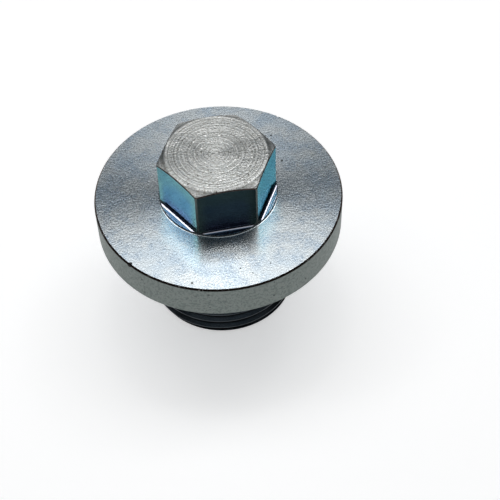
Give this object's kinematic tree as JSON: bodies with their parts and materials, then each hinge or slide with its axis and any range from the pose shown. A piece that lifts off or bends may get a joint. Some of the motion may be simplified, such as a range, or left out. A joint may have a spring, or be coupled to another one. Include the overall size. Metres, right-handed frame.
{
  "type": "threaded plug",
  "caption": "Round flanged threaded plug with a hexagon head, turned from one bar of steel and zinc plated.",
  "frame": {"origin": "centre of the spigot's flat end, which the plug stands on", "axes": "+Z along the plug's axis, from the spigot's end towards the hexagon head; +X through one corner of the hexagon"},
  "size_m": [0.046, 0.046, 0.0364],
  "materials": {
    "zinc_plated_steel": "bright zinc plate with a thin blue passivation over turned steel: satin flange, fine turning rings on the head's top, milled flats"
  },
  "bodies": {
    "root": {"threaded_plug": "zinc_plated_steel"}
  },
  "joints": []
}
